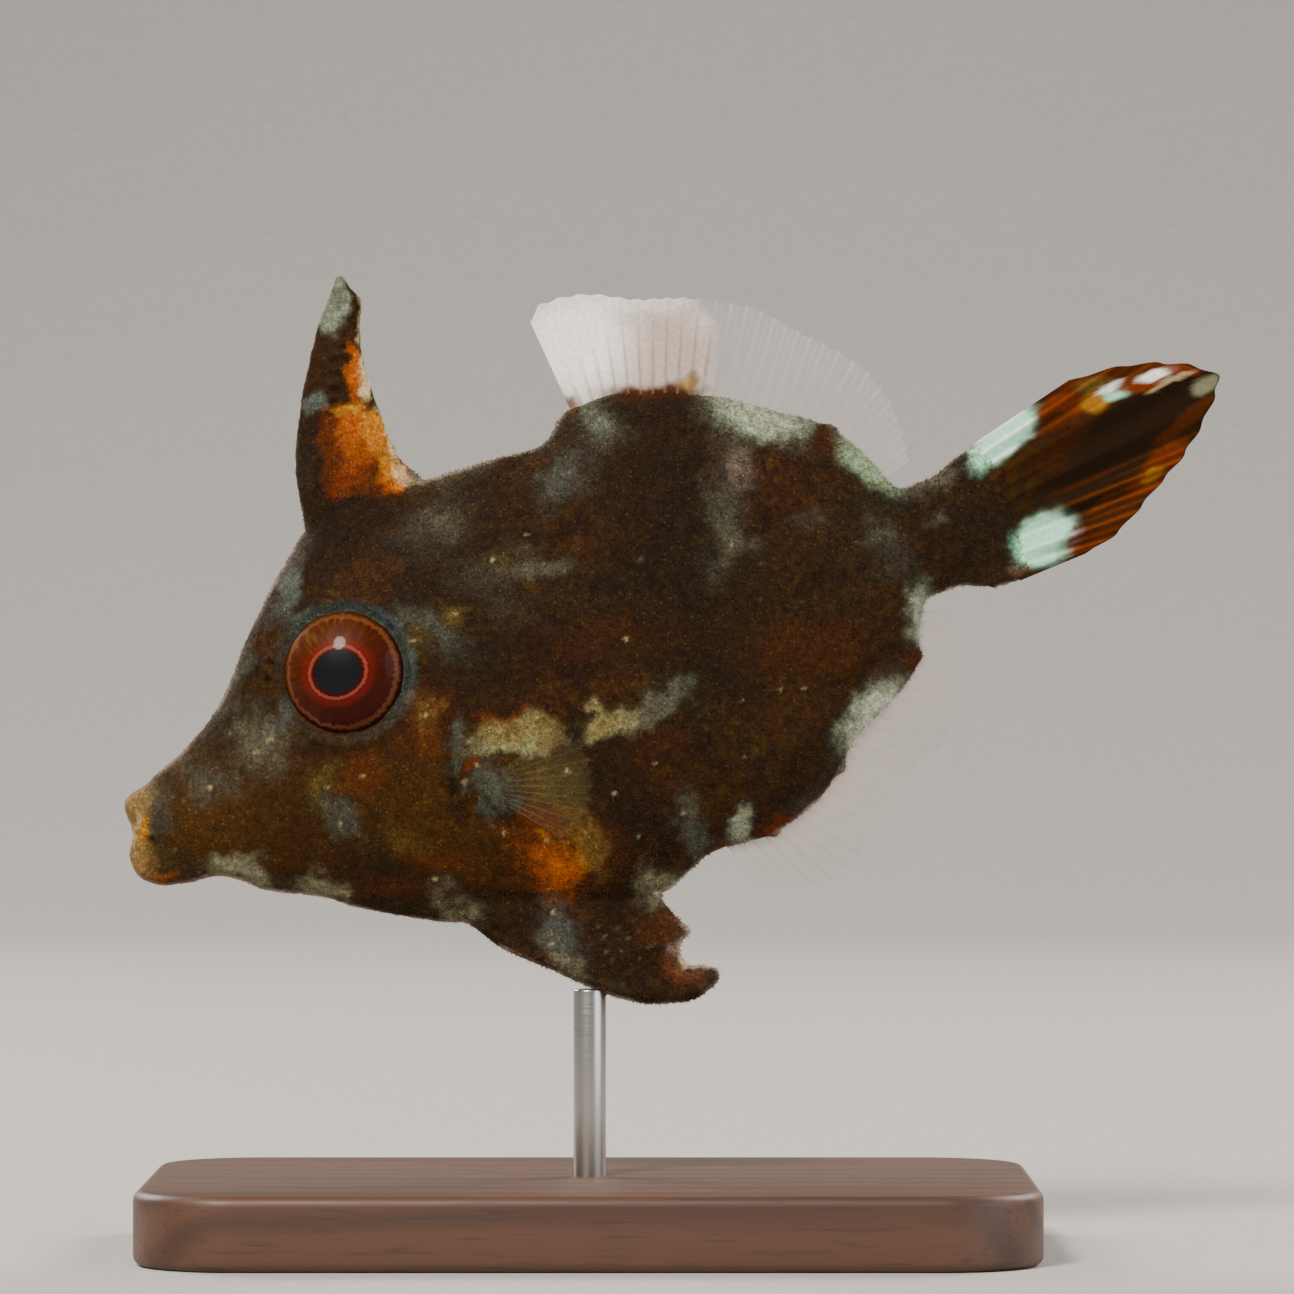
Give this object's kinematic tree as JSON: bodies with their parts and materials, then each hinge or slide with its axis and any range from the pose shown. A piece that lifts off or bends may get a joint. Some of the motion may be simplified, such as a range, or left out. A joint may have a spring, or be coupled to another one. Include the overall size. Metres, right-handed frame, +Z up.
{
  "type": "aiptasia-eating filefish display model",
  "caption": "Life-size still model of an aiptasia-eating filefish, head down, fins spread, on a flat base with a rod.",
  "frame": {"origin": "centre of the underside of the stand's base", "axes": "+X from the mouth to the tail, +Y to the fish's right side, +Z up"},
  "size_m": [0.074, 0.038, 0.0657],
  "materials": {
    "skin": "velvety matt skin, dark olive brown with pale, rust and mint blotches",
    "lips": "matt tan skin, yellow at the corner of the mouth",
    "eye": "wet and glossy, red-brown iris with a pinkish ring round a slate pupil",
    "spine": "matt, sage green at the tip, olive brown below",
    "web": "satin, orange",
    "clear_fin": "satin, clear to milky white, with fine rays",
    "tail_fin": "satin, brown and orange with mint patches",
    "wood": "dark, satin lacquered",
    "steel": "brushed"
  },
  "bodies": {
    "root": {"head": "skin", "torso": "skin", "tail_stalk": "skin", "pelvic_flap": "skin", "upper_lip": "lips", "lower_lip": "lips", "eye_left": "eye", "eye_right": "eye", "dorsal_spine": "spine", "spine_web": "web", "soft_dorsal_fin": "clear_fin", "anal_fin": "clear_fin", "pectoral_fin_left": "clear_fin", "pectoral_fin_right": "clear_fin", "tail_fin": "tail_fin", "stand_base": "wood", "stand_rod": "steel"}
  },
  "joints": []
}
